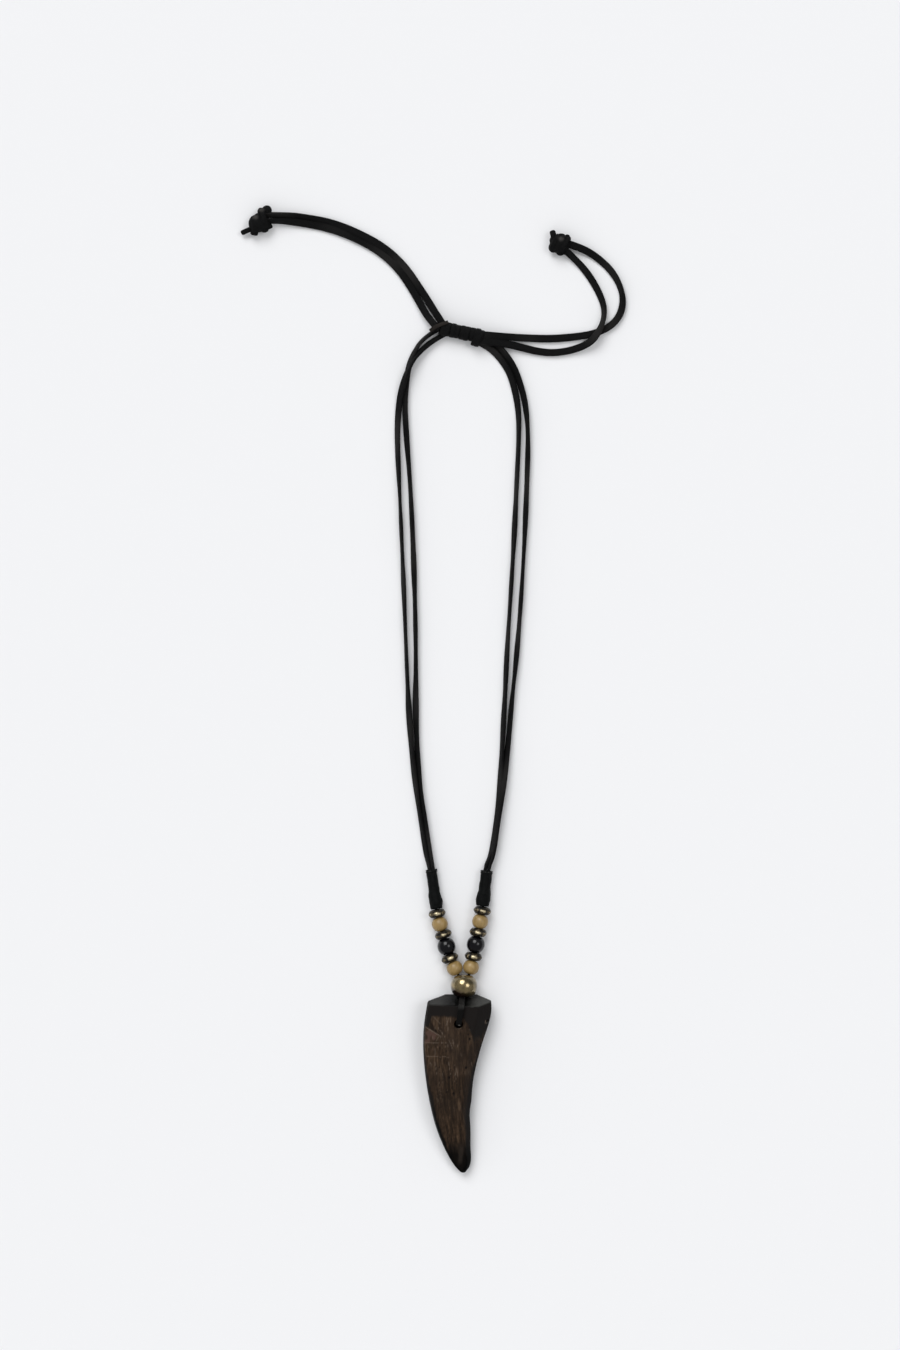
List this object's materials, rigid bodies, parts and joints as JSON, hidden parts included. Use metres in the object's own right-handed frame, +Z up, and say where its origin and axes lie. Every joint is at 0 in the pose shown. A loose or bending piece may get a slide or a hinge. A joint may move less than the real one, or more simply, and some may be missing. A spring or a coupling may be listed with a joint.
{
  "type": "horn necklace",
  "caption": "Adjustable lace necklace with a horn tip pendant, a round metal bead, strings of small beads and a sliding knot.",
  "frame": {"origin": "on the surface the necklace lies on, in the middle of the neck opening", "axes": "+X to the right and +Y from the pendant towards the free ends as seen from above, +Z up off the surface"},
  "size_m": [0.1532, 0.3856, 0.0137],
  "materials": {
    "horn": "brown and black horn, polished at the cap and edges, rough in front",
    "black_lace": "flat black lace with a slight sheen",
    "black_thread": "fine black waxed thread",
    "gold_metal": "polished gold-coloured metal",
    "dark_metal": "darkened metal with worn bright edges",
    "pale_wood": "pale satin wood",
    "black_glaze": "gloss black"
  },
  "bodies": {
    "root": {"horn_pendant": "horn", "left_bead_thread": "black_thread", "left_black_bead": "black_glaze", "left_end_knot": "black_lace", "left_inner_lace": "black_lace", "left_outer_lace": "black_lace", "left_spacer_lower": "dark_metal", "left_spacer_middle": "dark_metal", "left_spacer_upper": "dark_metal", "left_tail_lower_lace": "black_lace", "left_tail_upper_lace": "black_lace", "left_whipping": "black_thread", "left_wood_bead_lower": "pale_wood", "left_wood_bead_upper": "pale_wood", "pendant_bead": "gold_metal", "pendant_loop": "black_lace", "right_bead_thread": "black_thread", "right_black_bead": "black_glaze", "right_end_knot": "black_lace", "right_inner_lace": "black_lace", "right_outer_lace": "black_lace", "right_spacer_lower": "dark_metal", "right_spacer_middle": "dark_metal", "right_spacer_upper": "dark_metal", "right_tail_lower_lace": "black_lace", "right_tail_upper_lace": "black_lace", "right_whipping": "black_thread", "right_wood_bead_lower": "pale_wood", "right_wood_bead_upper": "pale_wood", "slide_knot": "black_lace"}
  },
  "joints": []
}
